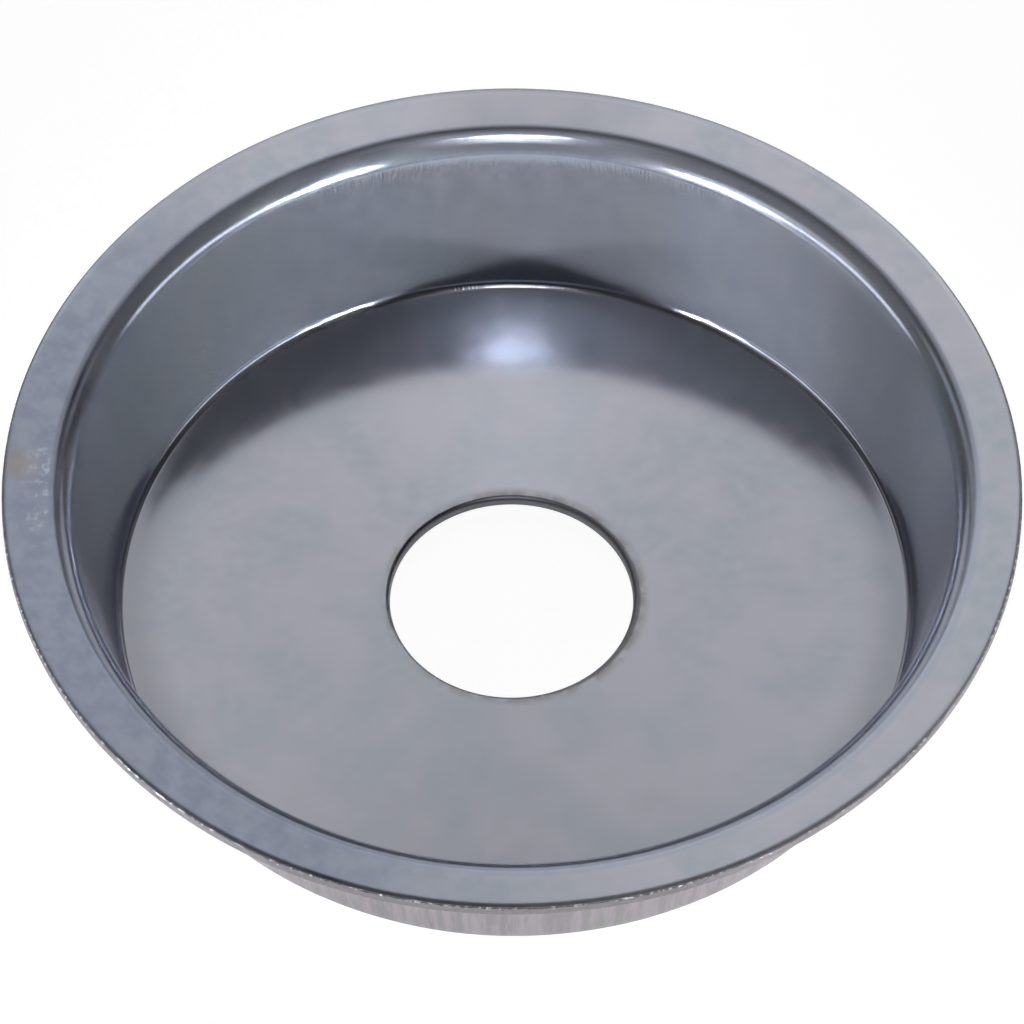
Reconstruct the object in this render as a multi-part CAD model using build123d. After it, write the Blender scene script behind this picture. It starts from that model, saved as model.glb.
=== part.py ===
from build123d import *
import os

# Turbo heat shield: one blank of sheet steel, drawn into a shallow cup with a flat flange round its mouth,
# then trimmed round the flange and pierced in the middle of the floor.
# Millimetres. +Z is up, out of the cup's mouth. The origin is on the cup's axis, in the plane that it stands on.

# The blank
sheet = 0.8  # gauge of the steel, the same all over

# The cup, measured on the inside of the sheet
cup_depth = 15.5  # from the flange's top face down to the flat ring of the floor
mouth_dia = 74.2  # where the slope of the wall would meet the flange's top face
floor_dia = 67.0  # where the slope of the wall would meet the floor
flange_width = 5.4  # from the mouth's corner out to the trimmed edge, which makes the flange 85 mm across
mouth_bend = 2.1  # radius of the bend from the flange into the wall
floor_bend = 0.8  # radius of the sharp corner between wall and floor, no more than the gauge

# The floor: a flat ring next to the corner, then a shallow cone that rises to the hole
seat_width = 3.5  # flat ring that the cup stands on, from the corner inwards
dish_rise = 0.65  # how much higher the floor is at the hole than at the flat ring
dish_blend = 20.0  # radius that eases the flat ring into the cone

# Pierced and trimmed edges
hole_dia = 20.5
hole_rollover = 0.4  # round that the punch leaves at the hole's upper edge
trim_rollover = 0.15  # finer round at the flange's upper outer edge

# Heights and radii that follow from the dimensions
floor_top = sheet
flange_top = floor_top + cup_depth
mouth_radius = mouth_dia / 2
flange_radius = mouth_radius + flange_width
floor_radius = floor_dia / 2
seat_radius = floor_radius - seat_width
hole_radius = hole_dia / 2


def skin_line():
    """The inside of the sheet in section, from the trimmed edge of the flange down the wall and along the floor.

    It runs past the edge of the hole by twice the gauge, into the slug that the punch takes out.
    """
    dish_slope = dish_rise / (seat_radius - hole_radius)
    slug_radius = hole_radius - 2 * sheet
    slug_height = floor_top + dish_slope * (seat_radius - slug_radius)
    return FilletPolyline(
        (flange_radius, flange_top),
        (mouth_radius, flange_top),
        (floor_radius, floor_top),
        (seat_radius, floor_top),
        (slug_radius, slug_height),
        radius=(mouth_bend, floor_bend, dish_blend),
    )


def pierced(section):
    """Cuts away what lies inside the hole."""
    punch = Rectangle(hole_radius, flange_top, align=(Align.MIN, Align.MIN))
    return section - punch


def with_rolled_edges(section):
    """Rounds the corners that the punch and the trimming die enter: the upper one at the hole and at the trim."""
    at_hole = section.vertices().group_by(Axis.X)[0]
    section = fillet(at_hole.sort_by(Axis.Y)[-1], hole_rollover)
    at_trim = section.vertices().group_by(Axis.X)[-1]
    return fillet(at_trim.sort_by(Axis.Y)[-1], trim_rollover)


# The sheet in section: radius along X, height along Y
drawn_section = make_face(skin_line().offset_2d(sheet, side=Side.LEFT))
section = with_rolled_edges(pierced(drawn_section))

heat_shield = revolve(Plane.XZ * section, axis=Axis.Z)
heat_shield.label = "heat_shield"

os.makedirs("parts", exist_ok=True)
export_step(heat_shield, "parts/heat_shield.step")
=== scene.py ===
import math

import bpy
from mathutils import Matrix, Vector


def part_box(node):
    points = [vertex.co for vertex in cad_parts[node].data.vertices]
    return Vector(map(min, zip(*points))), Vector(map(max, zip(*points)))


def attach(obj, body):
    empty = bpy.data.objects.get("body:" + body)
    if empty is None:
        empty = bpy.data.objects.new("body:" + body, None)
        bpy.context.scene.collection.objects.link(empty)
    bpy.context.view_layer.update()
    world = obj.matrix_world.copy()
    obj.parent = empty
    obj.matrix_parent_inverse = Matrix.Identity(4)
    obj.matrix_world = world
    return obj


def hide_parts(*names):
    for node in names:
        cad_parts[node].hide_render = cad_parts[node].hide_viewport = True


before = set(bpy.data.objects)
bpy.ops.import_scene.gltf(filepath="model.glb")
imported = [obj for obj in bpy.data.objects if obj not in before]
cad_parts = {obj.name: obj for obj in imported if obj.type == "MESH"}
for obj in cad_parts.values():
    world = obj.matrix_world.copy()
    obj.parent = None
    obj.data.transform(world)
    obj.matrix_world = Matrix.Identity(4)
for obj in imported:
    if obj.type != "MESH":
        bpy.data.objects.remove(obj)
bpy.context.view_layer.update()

MM = 0.001
MM_PER_METRE = 1000

# The pressing, as the part has it: the inside of the sheet, in metres
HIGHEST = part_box("heat_shield")[1]
GAUGE = 0.8 * MM
FLANGE_RADIUS = HIGHEST.x
FLANGE_TOP = HIGHEST.z
MOUTH_RADIUS = 37.1 * MM
FLOOR_RADIUS = 33.5 * MM
FLOOR_TOP = GAUGE
SEAT_RADIUS = 30.0 * MM
HOLE_RADIUS = 10.25 * MM
HOLE_TOP = FLOOR_TOP + 0.65 * MM
MOUTH_BEND = 2.1 * MM
FLOOR_BEND = 0.8 * MM
DISH_BLEND = 20.0 * MM
HOLE_ROLLOVER = 0.4 * MM
TRIM_ROLLOVER = 0.15 * MM

# What the press left: the trim is cut a little off the cup's axis, and no face is quite even
CUP_OFF_CENTRE = Vector((0.22 * MM, -0.26 * MM, 0))
HOLE_OFF_CENTRE = Vector((-0.04 * MM, -0.25 * MM, 0))
FLOOR_WAVE = 0.05 * MM
FLOOR_WAVE_LENGTH = 14 * MM
FLANGE_WAVE = 0.03 * MM
FLANGE_WAVE_LENGTH = 10 * MM
WALL_BOW = 0.08 * MM

# How fine the mesh is
SEGMENTS = 512  # faces round the axis
MOUTH_BEND_FACES = 18
FLOOR_BEND_FACES = 10
DISH_BLEND_FACES = 2
HOLE_ROLL_FACES = 6
TRIM_ROLL_FACES = 3
DISH_RINGS = 14
SEAT_RINGS = 2
WALL_RINGS = 12
FLANGE_RINGS = 4
SHARP_ANGLE = math.radians(40)


# Modelling helpers

def deselect_everything():
    if bpy.context.mode != "OBJECT":
        bpy.ops.object.mode_set(mode="OBJECT")
    bpy.ops.object.select_all(action="DESELECT")


def radius_of(point):
    return math.hypot(point.x, point.y)


def select_edges(piece, wanted):
    """In edit mode, selects the edges for which wanted(one end, other end) holds."""
    bpy.ops.mesh.select_mode(type="EDGE")
    bpy.ops.mesh.select_all(action="DESELECT")
    bpy.ops.object.mode_set(mode="OBJECT")
    mesh = piece.data
    for edge in mesh.edges:
        edge.select = wanted(*(mesh.vertices[v].co for v in edge.vertices))
    bpy.ops.object.mode_set(mode="EDIT")


def select_ring(piece, radius, height, near_radius, near_height):
    """Selects the ring of edges at a radius and a height."""
    def on_ring(point):
        return abs(radius_of(point) - radius) < near_radius and abs(point.z - height) < near_height
    select_edges(piece, lambda a, b: on_ring(a) and on_ring(b))


def select_spokes(piece, inner, outer):
    """Selects the edges that run from one ring to the next between two radii."""
    shortest = 0.1 * MM

    def is_spoke(a, b):
        near, far = sorted((radius_of(a), radius_of(b)))
        return inner < near and far < outer and far - near > shortest
    select_edges(piece, is_spoke)


def apply_modifiers(piece):
    deselect_everything()
    bpy.context.view_layer.objects.active = piece
    piece.select_set(True)
    for modifier in list(piece.modifiers):
        bpy.ops.object.modifier_apply(modifier=modifier.name)


def smooth_step(x, low, high):
    t = min(1.0, max(0.0, (x - low) / (high - low)))
    return t * t * (3 - 2 * t)


# The shield

def draw_skin():
    """The inside of the sheet with sharp corners: the hole's edge, pulled out ring by ring."""
    deselect_everything()
    bpy.ops.mesh.primitive_circle_add(
        vertices=SEGMENTS, radius=HOLE_RADIUS, fill_type="NOTHING", location=(0, 0, HOLE_TOP))
    skin = bpy.context.object
    skin.name = skin.data.name = "pressed_shield"
    bpy.ops.object.transform_apply(location=True, rotation=True, scale=True)
    bpy.ops.object.mode_set(mode="EDIT")
    bpy.ops.mesh.select_mode(type="EDGE")
    bpy.ops.mesh.select_all(action="SELECT")
    radius, height = HOLE_RADIUS, HOLE_TOP
    rings = [
        (SEAT_RADIUS, FLOOR_TOP),
        (FLOOR_RADIUS, FLOOR_TOP),
        (MOUTH_RADIUS, FLANGE_TOP),
        (FLANGE_RADIUS, FLANGE_TOP),
    ]
    for next_radius, next_height in rings:
        rise = (0, 0, next_height - height)
        grow = next_radius / radius
        bpy.ops.mesh.extrude_edges_move(TRANSFORM_OT_translate={"value": rise})
        bpy.ops.transform.resize(value=(grow, grow, 1), center_override=(0, 0, 0))
        radius, height = next_radius, next_height
    return skin


def round_selected(size, faces):
    bpy.ops.mesh.bevel(offset=size, offset_type="OFFSET", segments=faces,
                       profile=0.5, affect="EDGES", loop_slide=True)


def bend_corner(skin, radius, height, bend, turn, faces):
    """Rounds a corner of the section to its bend radius. The sheet turns there by turn, in radians."""
    near = 0.02 * MM
    select_ring(skin, radius, height, near, near)
    round_selected(bend * math.tan(turn / 2), faces)


def roll_edge(skin, radius, height, rollover, faces):
    """Rounds the edge that the cutting tool entered."""
    select_ring(skin, radius, height, 0.01 * MM, 0.12 * MM)
    round_selected(rollover, faces)


def cut_rings(skin, inner, outer, cuts):
    """Adds rings of points across a plain stretch of the sheet, so that it can be wavy."""
    select_spokes(skin, inner, outer)
    bpy.ops.mesh.subdivide(number_cuts=cuts)


def face_up(skin):
    """Turns the floor's faces upwards, into the cup, and all others with them."""
    bpy.ops.mesh.select_all(action="SELECT")
    bpy.ops.mesh.normals_make_consistent(inside=False)
    bpy.ops.object.mode_set(mode="OBJECT")
    if skin.data.polygons[0].normal.z < 0:
        bpy.ops.object.mode_set(mode="EDIT")
        bpy.ops.mesh.flip_normals()
        bpy.ops.object.mode_set(mode="OBJECT")


def bow_wall(skin):
    """Springback: the wall stands a little steeper towards the mouth than the die that pressed it."""
    foot, top = FLOOR_TOP + FLOOR_BEND, FLANGE_TOP - MOUTH_BEND
    full = 27 / 4  # brings along ** 2 * (1 - along) to one where it is largest
    mesh = skin.data
    for v in mesh.vertices:
        reach = radius_of(v.co)
        along = (v.co.z - foot) / (top - foot)
        if reach > FLOOR_RADIUS - 0.5 * MM and 0 < along < 1:
            grow = 1 + WALL_BOW * full * along ** 2 * (1 - along) / reach
            v.co.x *= grow
            v.co.y *= grow
    mesh.update()


def shift_off_centre(skin):
    """Moves the cup and the hole off the flange's axis by as little as the real trim is off."""
    mesh = skin.data
    for v in mesh.vertices:
        reach = radius_of(v.co)
        cup = 1 - smooth_step(reach, MOUTH_RADIUS + 1.5 * MM, FLANGE_RADIUS)
        hole = 1 - smooth_step(reach, HOLE_RADIUS, SEAT_RADIUS)
        v.co += CUP_OFF_CENTRE * cup + (HOLE_OFF_CENTRE - CUP_OFF_CENTRE) * hole
    mesh.update()


def in_cup(point):
    return 1 - smooth_step(radius_of(point), MOUTH_RADIUS - 1.5 * MM, MOUTH_RADIUS + MM)


def in_flange(point):
    return smooth_step(radius_of(point), MOUTH_RADIUS - MM, MOUTH_RADIUS + 1.5 * MM)


def add_wave(skin, name, weight, length, strength, mid_level):
    """Slow unevenness of the sheet, as pressing leaves it, by weight(point) at each point."""
    group = skin.vertex_groups.new(name=name)
    for v in skin.data.vertices:
        group.add([v.index], weight(v.co), "REPLACE")
    texture = bpy.data.textures.new(f"wave_{name}", "CLOUDS")
    texture.noise_scale = length
    texture.noise_depth = 2
    modifier = skin.modifiers.new(f"wave_{name}", "DISPLACE")
    modifier.texture = texture
    modifier.texture_coords = "LOCAL"
    modifier.direction = "NORMAL"
    modifier.vertex_group = name
    modifier.strength = strength
    modifier.mid_level = mid_level


def press_shield():
    """Draws the cup, gives the sheet its gauge, and pierces and trims it."""
    skin = draw_skin()
    lean = math.atan2(MOUTH_RADIUS - FLOOR_RADIUS, FLANGE_TOP - FLOOR_TOP)
    wall_turn = math.pi / 2 - lean
    dish_turn = math.atan2(HOLE_TOP - FLOOR_TOP, SEAT_RADIUS - HOLE_RADIUS)
    bend_corner(skin, MOUTH_RADIUS, FLANGE_TOP, MOUTH_BEND, wall_turn, MOUTH_BEND_FACES)
    bend_corner(skin, FLOOR_RADIUS, FLOOR_TOP, FLOOR_BEND, wall_turn, FLOOR_BEND_FACES)
    bend_corner(skin, SEAT_RADIUS, FLOOR_TOP, DISH_BLEND, dish_turn, DISH_BLEND_FACES)
    cut_rings(skin, HOLE_RADIUS - MM, SEAT_RADIUS, DISH_RINGS)
    cut_rings(skin, SEAT_RADIUS, FLOOR_RADIUS - 0.3 * MM, SEAT_RINGS)
    cut_rings(skin, FLOOR_RADIUS, MOUTH_RADIUS - 0.2 * MM, WALL_RINGS)
    cut_rings(skin, MOUTH_RADIUS + MM, FLANGE_RADIUS + MM, FLANGE_RINGS)
    face_up(skin)

    bow_wall(skin)
    add_wave(skin, "cup", in_cup, FLOOR_WAVE_LENGTH, FLOOR_WAVE, 0.0)
    add_wave(skin, "flange", in_flange, FLANGE_WAVE_LENGTH, FLANGE_WAVE, 1.0)
    gauge = skin.modifiers.new("gauge", "SOLIDIFY")
    gauge.thickness = GAUGE
    gauge.offset = -1
    gauge.use_even_offset = True
    apply_modifiers(skin)

    bpy.ops.object.mode_set(mode="EDIT")
    roll_edge(skin, HOLE_RADIUS, HOLE_TOP, HOLE_ROLLOVER, HOLE_ROLL_FACES)
    roll_edge(skin, FLANGE_RADIUS, FLANGE_TOP, TRIM_ROLLOVER, TRIM_ROLL_FACES)
    bpy.ops.object.mode_set(mode="OBJECT")
    shift_off_centre(skin)

    deselect_everything()
    skin.select_set(True)
    bpy.context.view_layer.objects.active = skin
    bpy.ops.object.shade_smooth_by_angle(angle=SHARP_ANGLE)
    return skin


# Node helpers

def link(tree, source, target):
    tree.links.new(source, target)


def vector_math(tree, operation, first, second=None):
    node = tree.nodes.new("ShaderNodeVectorMath")
    node.operation = operation
    link(tree, first, node.inputs[0])
    if second is not None:
        node.inputs[1].default_value = second
    return node


def number_math(tree, operation, *values):
    """A Math node. Each value is a socket or a plain number."""
    node = tree.nodes.new("ShaderNodeMath")
    node.operation = operation
    for socket, value in zip(node.inputs, values):
        if isinstance(value, (int, float)):
            socket.default_value = value
        else:
            link(tree, value, socket)
    return node.outputs[0]


def product(tree, *values):
    result = values[0]
    for value in values[1:]:
        result = number_math(tree, "MULTIPLY", result, value)
    return result


def ease(tree, value, low, high, start=0.0, end=1.0):
    """Runs smoothly from start to end while the value goes from low to high."""
    node = tree.nodes.new("ShaderNodeMapRange")
    node.interpolation_type = "SMOOTHSTEP"
    node.inputs["From Min"].default_value = low
    node.inputs["From Max"].default_value = high
    node.inputs["To Min"].default_value = start
    node.inputs["To Max"].default_value = end
    link(tree, value, node.inputs["Value"])
    return node.outputs["Result"]


def fade(tree, value, low, high):
    """One below low and nothing above high."""
    return ease(tree, value, low, high, 1.0, 0.0)


def band(tree, value, rise, full, fall, end):
    """One between full and fall, nothing below rise and above end."""
    return product(tree, ease(tree, value, rise, full), fade(tree, value, fall, end))


def noise(tree, vector, scale, detail=2.0, roughness=0.5):
    node = tree.nodes.new("ShaderNodeTexNoise")
    node.inputs["Scale"].default_value = scale
    node.inputs["Detail"].default_value = detail
    node.inputs["Roughness"].default_value = roughness
    link(tree, vector, node.inputs["Vector"])
    return node.outputs["Fac"]


def blend(tree, factor, first, second):
    """Mixes two colours. Each is a socket or a colour of three numbers."""
    node = tree.nodes.new("ShaderNodeMix")
    node.data_type = "RGBA"
    colours = [s for s in node.inputs if s.type == "RGBA"]
    for socket, value in zip(colours, (first, second)):
        if isinstance(value, tuple):
            socket.default_value = (*value, 1)
        else:
            link(tree, value, socket)
    link(tree, factor, node.inputs["Factor"])
    return [s for s in node.outputs if s.type == "RGBA"][0]


def bump(tree, height):
    """Relief from a height in millimetres."""
    node = tree.nodes.new("ShaderNodeBump")
    node.inputs["Strength"].default_value = 1
    node.inputs["Distance"].default_value = MM
    link(tree, height, node.inputs["Height"])
    return node.outputs["Normal"]


def cup_place(tree):
    """Object coordinates in millimetres, measured from the cup's axis."""
    place = tree.nodes.new("ShaderNodeTexCoord")
    centred = tree.nodes.new("ShaderNodeMapping")
    centred.label = "millimetres from the cup's axis"
    centred.inputs["Scale"].default_value = (MM_PER_METRE, MM_PER_METRE, MM_PER_METRE)
    centred.inputs["Location"].default_value = -CUP_OFF_CENTRE * MM_PER_METRE
    link(tree, place.outputs["Object"], centred.inputs["Vector"])
    return centred.outputs["Vector"]


def distance_from_trim_centre(tree):
    """How far a point is from the flange's own axis, in millimetres."""
    place = tree.nodes.new("ShaderNodeTexCoord").outputs["Object"]
    flat = vector_math(tree, "MULTIPLY", place, (MM_PER_METRE, MM_PER_METRE, 0)).outputs["Vector"]
    return vector_math(tree, "LENGTH", flat).outputs["Value"]


def split_xyz(tree, vector):
    split = tree.nodes.new("ShaderNodeSeparateXYZ")
    link(tree, vector, split.inputs[0])
    return split.outputs


def near_spot(tree, place, spot, reach):
    """One at a spot of the shield, in millimetres, and nothing beyond its reach."""
    distance = vector_math(tree, "DISTANCE", place, spot).outputs["Value"]
    return fade(tree, distance, 0.3 * reach, reach)


def along_draw(tree, place, radius, stretch):
    """Coordinates that run round the cup in millimetres, drawn out down the wall by stretch."""
    flat = vector_math(tree, "MULTIPLY", place, (1, 1, 0)).outputs["Vector"]
    way = vector_math(tree, "NORMALIZE", flat).outputs["Vector"]
    mouth = (MOUTH_RADIUS / MM, MOUTH_RADIUS / MM, 0)
    ring = vector_math(tree, "MULTIPLY", way, mouth).outputs["Vector"]
    run = number_math(tree, "ADD", split_xyz(tree, place)["Z"], radius)
    down = tree.nodes.new("ShaderNodeCombineXYZ")
    link(tree, number_math(tree, "DIVIDE", run, stretch), down.inputs["Z"])
    both = tree.nodes.new("ShaderNodeVectorMath")
    both.operation = "ADD"
    link(tree, ring, both.inputs[0])
    link(tree, down.outputs[0], both.inputs[1])
    return both.outputs["Vector"]


# Finish

# Rings of the finish, in millimetres from the cup's axis: where each begins, is full, falls off and ends
DRAWN = (32.9, 33.6, 38.3, 39.4)
WALL = (32.9, 33.6, 36.3, 37.2)
BEND = (36.4, 37.1, 38.5, 39.1)
# painted shade: the dark ring painted on the mouth bend
BEND_SHADE_RING = (37.9, 38.2, 38.6, 38.95)
# painted shade: the floor darkened towards its corner with the wall
CORNER_SHADE_RING = (28.5, 32.8, 33.3, 33.6)
CHIPPED = (38.6, 39.0, 40.2, 41.4)

# The trimmed edge, in millimetres from the flange's own axis
TRIMMED = (42.38, 42.44)
# the ring of the trimmed edge where glints are painted on the burrs
BURRED = (42.36, 42.40, 42.48, 42.5)

# Spots on the flange, in millimetres from the cup's axis, and how far each reaches
SHADED_SPOT = ((1, 41.5, 15.5), 13)
CHIPPED_SPOT = ((-39.4, 0.5, 15.5), 7)
RUST_SPOT = ((-41.6, 2.9, 15.5), 2.4)

# Where the left of the flange takes painted shade: the way there from the axis
SHADE_SIDE_WAY = (-0.94, -0.34, 0)

# Colours
BLUISH_STEEL = (0.44, 0.475, 0.54)
GREY_STEEL = (0.50, 0.505, 0.57)
PALE_STEEL = (0.525, 0.535, 0.59)
DRAWN_STEEL = (0.41, 0.445, 0.545)
# painted shade for the floor's corner with the wall
CORNER_SHADE_PAINT = (0.20, 0.21, 0.24)
# painted shade for the left side of the flange, darker and bluer
SIDE_SHADE_PAINT = (0.27, 0.305, 0.40)
SHADED_STEEL = (0.34, 0.325, 0.37)
CHIPPED_STEEL = (0.56, 0.59, 0.64)
RUST = (0.36, 0.31, 0.29)
OUTER_GREY = (0.44, 0.42, 0.445)
OUTER_MAUVE = (0.56, 0.51, 0.56)
STAIN = (0.27, 0.25, 0.26)
# painted shade for the hole's pierced edge, standing in for the shadow it mirrors
PIERCED_EDGE_SHADE_PAINT = (0.27, 0.275, 0.31)
# painted shade for the back of the mouth bend
BEND_SHADE_PAINT = (0.14, 0.15, 0.18)
TRIMMED_STEEL = (0.42, 0.395, 0.43)
# painted glints on the burrs of the trimmed edge
BURR_GLINT_PAINT = (0.98, 0.96, 1.0)

# Heights of the relief, in millimetres
FINE_LINE_HEIGHT = 0.022
BROAD_LINE_HEIGHT = 0.02
GRAIN_HEIGHT = 0.007
BURR_HEIGHT = 0.2


def outer_wall(tree, radius, height):
    """The outside of the cup below the flange."""
    slope = (MOUTH_RADIUS - FLOOR_RADIUS) / (FLANGE_TOP - FLOOR_TOP)
    wall_line = number_math(tree, "MULTIPLY_ADD", height, slope, FLOOR_RADIUS / MM + 0.2)
    beyond = number_math(tree, "SUBTRACT", radius, wall_line)
    within = fade(tree, radius, 38.0, 38.6)
    return product(tree, ease(tree, beyond, 0.1, 0.3), within, fade(tree, height, 14.6, 15.6))


def pressed_steel():
    """Cold-rolled sheet as the press leaves it: smooth, mottled, with draw lines down the wall. Shade
    and glints are painted into its colour in places.
    """
    material = bpy.data.materials.new("pressed_steel")
    material.use_nodes = True
    tree = material.node_tree
    shader = tree.nodes["Principled BSDF"]
    shader.inputs["Metallic"].default_value = 0.8

    place = cup_place(tree)
    flat = vector_math(tree, "MULTIPLY", place, (1, 1, 0)).outputs["Vector"]
    radius = vector_math(tree, "LENGTH", flat).outputs["Value"]
    split = split_xyz(tree, place)
    depth, height = split["Y"], split["Z"]
    trim_radius = distance_from_trim_centre(tree)

    # Where each part of the finish lies
    drawn = band(tree, radius, *DRAWN)
    wall = band(tree, radius, *WALL)
    bend = band(tree, radius, *BEND)
    # painted shade: a dark ring on the mouth bend, at the back only
    painted_bend_shade = product(tree, band(tree, radius, *BEND_SHADE_RING), ease(tree, depth, -5, 12))
    flange = ease(tree, radius, 37.6, 38.6)
    # painted shade: where the floor is darkened towards its corner
    corner_shade = band(tree, radius, *CORNER_SHADE_RING)
    outer = outer_wall(tree, radius, height)
    trim = ease(tree, trim_radius, *TRIMMED)
    burred = band(tree, trim_radius, *BURRED)
    # the hole's pierced edge: its own rougher cut steel, and painted shade in its colour
    pierced_edge_and_shade = fade(tree, radius, 10.4, 10.75)
    hole_rim = fade(tree, radius, 10.4, 11.6)
    shaded = near_spot(tree, place, *SHADED_SPOT)
    handled = near_spot(tree, place, *CHIPPED_SPOT)
    rusty = near_spot(tree, place, *RUST_SPOT)
    # painted shade: how far a point lies towards the flange's shaded left side
    shade_side = vector_math(tree, "DOT_PRODUCT", place, SHADE_SIDE_WAY).outputs["Value"]

    # Patterns, by their scale in repeats per millimetre
    fine_lines = noise(tree, along_draw(tree, place, radius, 8), 5, 2)
    broad_lines = noise(tree, along_draw(tree, place, radius, 14), 0.7, 3, 0.6)
    outer_lines = noise(tree, along_draw(tree, place, radius, 14), 1.1, 3, 0.7)
    blotches = noise(tree, place, 0.14, 3, 0.55)
    clouds = noise(tree, place, 0.6, 4, 0.6)
    grain = noise(tree, place, 7, 2, 0.7)
    flecks = noise(tree, place, 1.2, 3, 0.6)
    burrs = noise(tree, place, 2.4, 1)
    # where the painted glints on the burrs show
    glint_places = noise(tree, place, 0.11, 1)

    # How much of each colour shows
    lines = product(tree, ease(tree, broad_lines, 0.3, 0.7, 0.6, 1.0), drawn)
    uneven = number_math(tree, "MULTIPLY_ADD", blotches, 18, -9)
    # painted shade along the left of the flange, broken up by random blotches
    painted_side_shade = ease(tree, number_math(tree, "ADD", shade_side, uneven), 3, 33, 0.0, 0.95)
    painted_side_shade = product(tree, painted_side_shade, ease(tree, clouds, 0.3, 0.65, 1.05, 0.75))
    chips = product(tree, ease(tree, flecks, 0.50, 0.70), band(tree, radius, *CHIPPED), handled)
    striped = blend(tree, ease(tree, outer_lines, 0.38, 0.62), OUTER_GREY, OUTER_MAUVE)
    stain = product(tree, hole_rim, ease(tree, clouds, 0.35, 0.62, 0.1, 0.9))
    # painted glints: near-white specks on the burrs
    painted_burr_glints = product(tree, ease(tree, burrs, 0.53, 0.60), ease(tree, glint_places, 0.42, 0.52))

    # Colour, from the plain sheet to what lies on top
    steel = blend(tree, ease(tree, blotches, 0.38, 0.62), BLUISH_STEEL, GREY_STEEL)
    layers = [
        (ease(tree, clouds, 0.35, 0.7, 0, 0.55), PALE_STEEL),
        (lines, DRAWN_STEEL),
        # painted shade in the floor's corner
        (product(tree, corner_shade, 0.42), CORNER_SHADE_PAINT),
        # painted shade on the left of the flange
        (product(tree, painted_side_shade, flange), SIDE_SHADE_PAINT),
        (product(tree, shaded, flange, 0.35), SHADED_STEEL),
        (product(tree, chips, 0.55), CHIPPED_STEEL),
        (product(tree, rusty, 0.6), RUST),
        (outer, striped),
        (stain, STAIN),
        # painted shade on the hole's pierced edge
        (product(tree, pierced_edge_and_shade, 0.9), PIERCED_EDGE_SHADE_PAINT),
        # painted shade on the back of the mouth bend
        (product(tree, painted_bend_shade, 0.6), BEND_SHADE_PAINT),
        (trim, TRIMMED_STEEL),
        # painted glints on the burrs of the trimmed edge
        (product(tree, painted_burr_glints, burred), BURR_GLINT_PAINT),
    ]
    for amount, colour in layers:
        steel = blend(tree, amount, steel, colour)
    link(tree, steel, shader.inputs["Base Color"])

    # Gloss
    smooth = ease(tree, clouds, 0.3, 0.7, 0.13, 0.16)
    rough = number_math(tree, "MULTIPLY_ADD", drawn, 0.03, smooth)
    rough = number_math(tree, "MULTIPLY_ADD", pierced_edge_and_shade, 0.3, rough)
    link(tree, rough, shader.inputs["Roughness"])

    # Relief
    broad_relief = product(tree, broad_lines, BROAD_LINE_HEIGHT)
    line_relief = number_math(tree, "MULTIPLY_ADD", fine_lines, FINE_LINE_HEIGHT, broad_relief)
    bend_relief = product(tree, grain, bend, GRAIN_HEIGHT)
    edge_relief = number_math(tree, "ADD", bend_relief, product(tree, burrs, trim, BURR_HEIGHT))
    relief = number_math(tree, "MULTIPLY_ADD", line_relief, wall, edge_relief)
    link(tree, bump(tree, relief), shader.inputs["Normal"])
    return material


# Stage

TABLE_SIZE = 8
TABLE_GREY = 0.30
TABLE_SEEN = 0.9  # added to what the camera sees of the table
TABLE_MIRRORED = 0.5  # added to what the steel mirrors of it
ROOM_LEVEL = 0.03
HORIZON_LEVEL = 0.6
HORIZON_HEIGHT = math.radians(14)


def white_table():
    """A pale table that still takes the shield's shadow."""
    deselect_everything()
    bpy.ops.mesh.primitive_plane_add(size=TABLE_SIZE, location=(0, 0, 0))
    table = bpy.context.object
    table.name = "white_table"
    material = bpy.data.materials.new("white_table")
    material.use_nodes = True
    tree = material.node_tree
    tree.nodes.clear()
    paint = tree.nodes.new("ShaderNodeBsdfDiffuse")
    paint.inputs["Color"].default_value = (TABLE_GREY, TABLE_GREY, TABLE_GREY, 1)
    ray = tree.nodes.new("ShaderNodeLightPath").outputs
    mirrored = product(tree, ray["Is Glossy Ray"], TABLE_MIRRORED)
    strength = number_math(tree, "MULTIPLY_ADD", ray["Is Camera Ray"], TABLE_SEEN, mirrored)
    strength = number_math(tree, "MAXIMUM", strength, ray["Is Transmission Ray"])
    glow = tree.nodes.new("ShaderNodeEmission")
    glow.inputs["Color"].default_value = (1, 1, 1, 1)
    link(tree, strength, glow.inputs["Strength"])
    both = tree.nodes.new("ShaderNodeAddShader")
    link(tree, paint.outputs[0], both.inputs[0])
    link(tree, glow.outputs[0], both.inputs[1])
    output = tree.nodes.new("ShaderNodeOutputMaterial")
    link(tree, both.outputs[0], output.inputs["Surface"])
    table.data.materials.append(material)


def room():
    """A dim room with a paler band along the horizon. The camera sees it white."""
    world = bpy.data.worlds.new("room")
    bpy.context.scene.world = world
    world.use_nodes = True
    tree = world.node_tree
    ray = tree.nodes.new("ShaderNodeLightPath").outputs
    where = tree.nodes.new("ShaderNodeTexCoord").outputs["Generated"]
    up = split_xyz(tree, where)["Z"]
    level = ease(tree, up, 0, math.sin(HORIZON_HEIGHT), HORIZON_LEVEL, ROOM_LEVEL)
    white = tree.nodes.new("ShaderNodeMix")
    link(tree, ray["Is Camera Ray"], white.inputs["Factor"])
    link(tree, level, white.inputs["A"])
    white.inputs["B"].default_value = 1
    link(tree, white.outputs["Result"], tree.nodes["Background"].inputs["Strength"])


def direction(azimuth, elevation):
    """Azimuth 0 is behind the shield, 90 on its right, 180 on the camera's side."""
    return Vector((
        math.sin(azimuth) * math.cos(elevation),
        math.cos(azimuth) * math.cos(elevation),
        math.sin(elevation),
    ))


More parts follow.
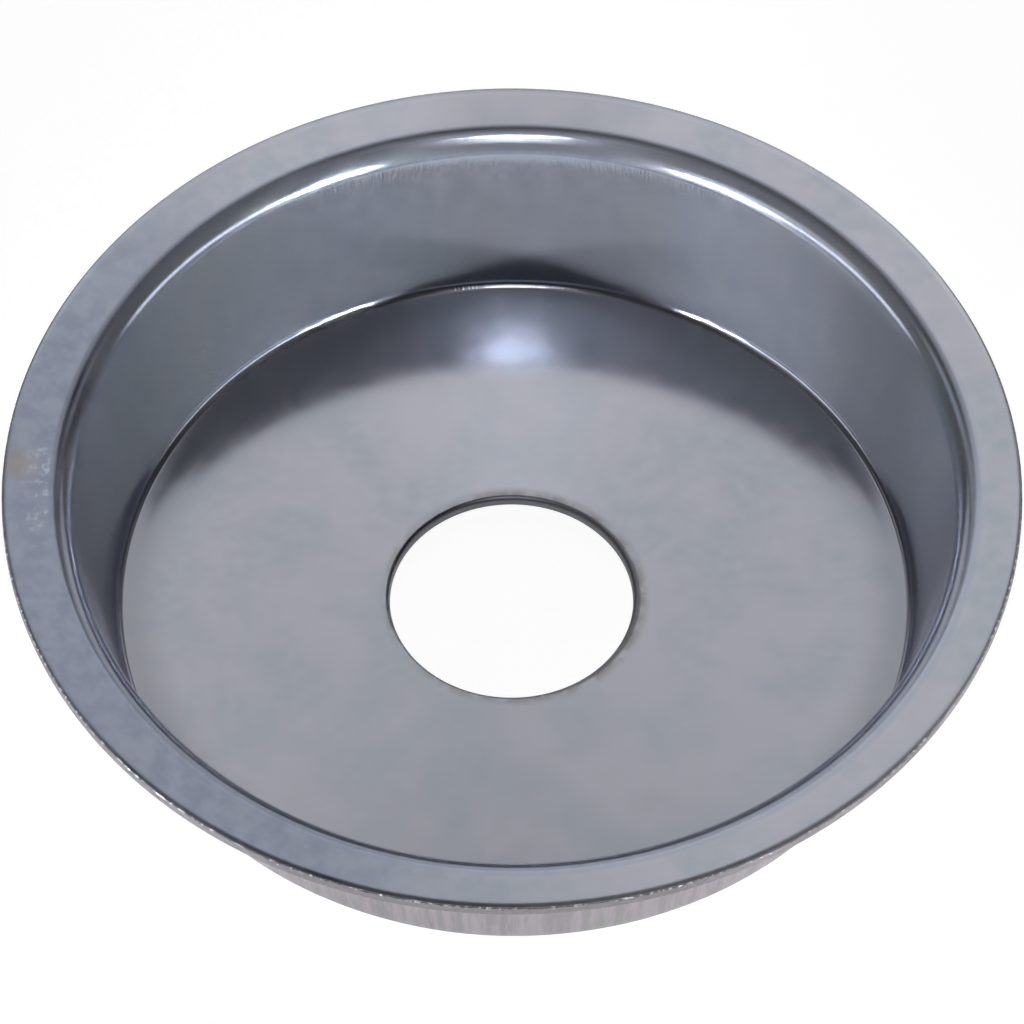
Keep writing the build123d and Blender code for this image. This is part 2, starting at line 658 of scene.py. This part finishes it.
def softbox(name, azimuth, elevation, width, height, radiance, beam=None, aim=(0, 0, 0)):
    """A square lamp a metre from the shield, facing it. Angles are in degrees, seen from there.

    With a grid in front, its light fades out at the beam's distance from the point it aims at.
    """
    distance = 1.0
    data = bpy.data.lights.new(name, "AREA")
    data.shape = "RECTANGLE"
    data.size = 2 * distance * math.tan(math.radians(width) / 2)
    data.size_y = 2 * distance * math.tan(math.radians(height) / 2)
    data.energy = radiance * math.pi * data.size * data.size_y
    if beam:
        half_spread = math.atan2(beam, distance)
        data.spread = 2 * half_spread
        data.energy *= 1 - half_spread / math.tan(half_spread)
    lamp = bpy.data.objects.new(name, data)
    bpy.context.scene.collection.objects.link(lamp)
    way = direction(math.radians(azimuth), math.radians(elevation))
    lamp.location = way * distance + Vector(aim)
    lamp.rotation_euler = way.to_track_quat("Z", "Y").to_euler()
    lamp.visible_camera = False


def light_stage():
    """Each lamp by its azimuth, elevation, width, height and radiance."""
    room()
    right_of_back = (18 * MM, 31 * MM, 10 * MM)
    left_of_back = (-18 * MM, 31 * MM, 10 * MM)
    softbox("left_strobe", -135.5, 11.85, 2.4, 1.2, 7700, beam=50 * MM, aim=right_of_back)
    softbox("right_strobe", 139.2, 11.85, 2.4, 1.2, 7300, beam=50 * MM, aim=left_of_back)
    softbox("left_side_strip", -110, 17, 50, 8, 2.1)
    softbox("right_side_strip", 113, 17, 50, 8, 2.1)
    softbox("back_panel", 0, 55.5, 28, 13, 0.79)
    softbox("back_middle_panel", 0, 43.5, 28, 11, 0.9)
    softbox("back_glow", 0, 48.5, 3.5, 4, 0.26)
    softbox("back_low_panel", 0, 31, 84, 13, 0.62)
    softbox("back_bright_strip", 0, 20, 88, 9, 0.72)
    softbox("left_middle_panel", -38, 44, 34, 12, 0.4)
    softbox("right_middle_panel", 36, 44, 34, 12, 0.2)
    softbox("left_front_panel", -118, 32, 40, 12, 0.4)
    softbox("overhead_card", 0, 89, 20, 20, 0.35)
    softbox("front_tall_lamp", 180, 60, 9, 26, 3)
    softbox("front_top_lamp", 180, 71.9, 3.2, 3.2, 56)


# Camera

PICTURE = 1024
FOCUS = 14292.5  # in pixels of the picture
CAMERA_DISTANCE = 28 * FLANGE_RADIUS
CAMERA_ELEVATION = math.radians(53.519)
CAMERA_PITCH = math.radians(53.519 + 0.0904)


def set_camera():
    data = bpy.data.cameras.new("camera")
    data.sensor_width = 36
    data.lens = FOCUS / PICTURE * data.sensor_width
    data.clip_start = 0.05
    data.clip_end = 50
    camera = bpy.data.objects.new("camera", data)
    bpy.context.scene.collection.objects.link(camera)
    camera.location = (0, -CAMERA_DISTANCE * math.cos(CAMERA_ELEVATION),
                       FLANGE_TOP + CAMERA_DISTANCE * math.sin(CAMERA_ELEVATION))
    camera.rotation_euler = (math.pi / 2 - CAMERA_PITCH, 0, 0)
    bpy.context.scene.camera = camera


shield = press_shield()
shield.data.materials.append(pressed_steel())
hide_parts("heat_shield")
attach(shield, "root")

white_table()
light_stage()
set_camera()

bpy.context.scene.view_settings.view_transform = "Standard"
